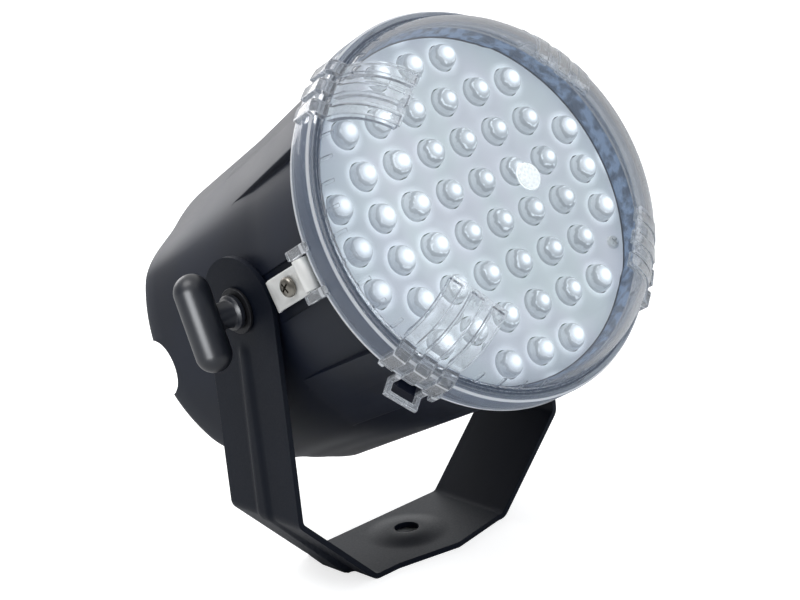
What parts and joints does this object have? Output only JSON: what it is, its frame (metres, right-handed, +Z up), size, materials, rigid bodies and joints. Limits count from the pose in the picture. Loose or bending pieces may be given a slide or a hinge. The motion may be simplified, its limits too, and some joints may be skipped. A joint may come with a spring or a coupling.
{
  "type": "strobe light",
  "caption": "Small LED strobe light: round tilting lamp head with a clear domed cover, held in a bent steel yoke by two T-knobs.",
  "frame": {"origin": "centre of the whole light's box in X and Y, at the underside of the yoke's base", "axes": "+Z up, -Y the way the lamp faces, X along the tilt axis through both T-knobs"},
  "size_m": [0.1714, 0.1788, 0.1972],
  "materials": {
    "yoke_paint": "satin",
    "black_moulding": "satin",
    "knob_plastic": "satin",
    "clear_plastic": "gloss",
    "lamp_sheet": "satin",
    "lamp_clear": "gloss",
    "rubber": "matte",
    "bright_steel": "satin",
    "brass": "satin",
    "board_green": "satin",
    "cap_sleeve": "satin",
    "cast_alloy": "satin",
    "grey_insulation": "matte",
    "red_insulation": "satin",
    "black_insulation": "satin",
    "terminal_green": "satin"
  },
  "bodies": {
    "yoke": {"yoke": "yoke_paint", "friction_washer_left": "rubber", "friction_washer_right": "rubber"},
    "head": {"housing": "black_moulding", "front_cover": "clear_plastic", "lamp_plate": "lamp_sheet", "lamp_board": "lamp_clear", "rear_panel": "black_moulding", "threaded_insert_left": "brass", "threaded_insert_right": "brass", "cover_clip_left": "bright_steel", "cover_clip_right": "bright_steel", "clip_screw_left": "bright_steel", "clip_screw_right": "bright_steel", "plate_screw": "bright_steel", "plate_spacer": "bright_steel", "board_screw_1": "bright_steel", "board_screw_2": "bright_steel", "board_screw_3": "bright_steel", "rear_screw_1": "bright_steel", "rear_screw_2": "bright_steel", "rear_screw_3": "bright_steel", "rear_screw_4": "bright_steel", "speed_control": "cast_alloy", "speed_nut": "bright_steel", "power_inlet": "black_moulding", "inlet_nut": "bright_steel", "control_board": "board_green", "board_post_1": "cast_alloy", "board_post_2": "cast_alloy", "board_post_3": "cast_alloy", "board_post_4": "cast_alloy", "storage_capacitor_1": "cap_sleeve", "storage_capacitor_2": "cap_sleeve", "heat_sink": "cast_alloy", "control_chip": "black_insulation", "terminal_block": "terminal_green", "harness_plug_rear": "grey_insulation", "harness_plug_front": "grey_insulation", "harness_ribbon": "grey_insulation", "positive_lead": "red_insulation", "negative_lead": "black_insulation"},
    "knob_left": {"t_knob_left": "knob_plastic", "knob_stud_left": "bright_steel", "knob_washer_left": "bright_steel"},
    "knob_right": {"t_knob_right": "knob_plastic", "knob_stud_right": "bright_steel", "knob_washer_right": "bright_steel"},
    "speed_knob": {"speed_knob": "knob_plastic", "speed_shaft": "bright_steel"}
  },
  "joints": [
    {"name": "head_tilt", "type": "hinge", "parent": "yoke", "child": "head", "pos_m": [0, 0.01184, 0.1077], "axis": [-1, 0, 0], "range_deg": [-34, 150]},
    {"name": "knob_left_turn", "type": "hinge", "parent": "head", "child": "knob_left", "pos_m": [-0.07, 0.01184, 0.1077], "axis": [1, 0, 0], "continuous": true},
    {"name": "knob_right_turn", "type": "hinge", "parent": "head", "child": "knob_right", "pos_m": [0.07, 0.01184, 0.1077], "axis": [-1, 0, 0], "continuous": true},
    {"name": "speed_turn", "type": "hinge", "parent": "head", "child": "speed_knob", "pos_m": [0, 0.0713, 0.09121], "axis": [0, -0.8746, 0.4848], "range_deg": [-150, 150]}
  ]
}
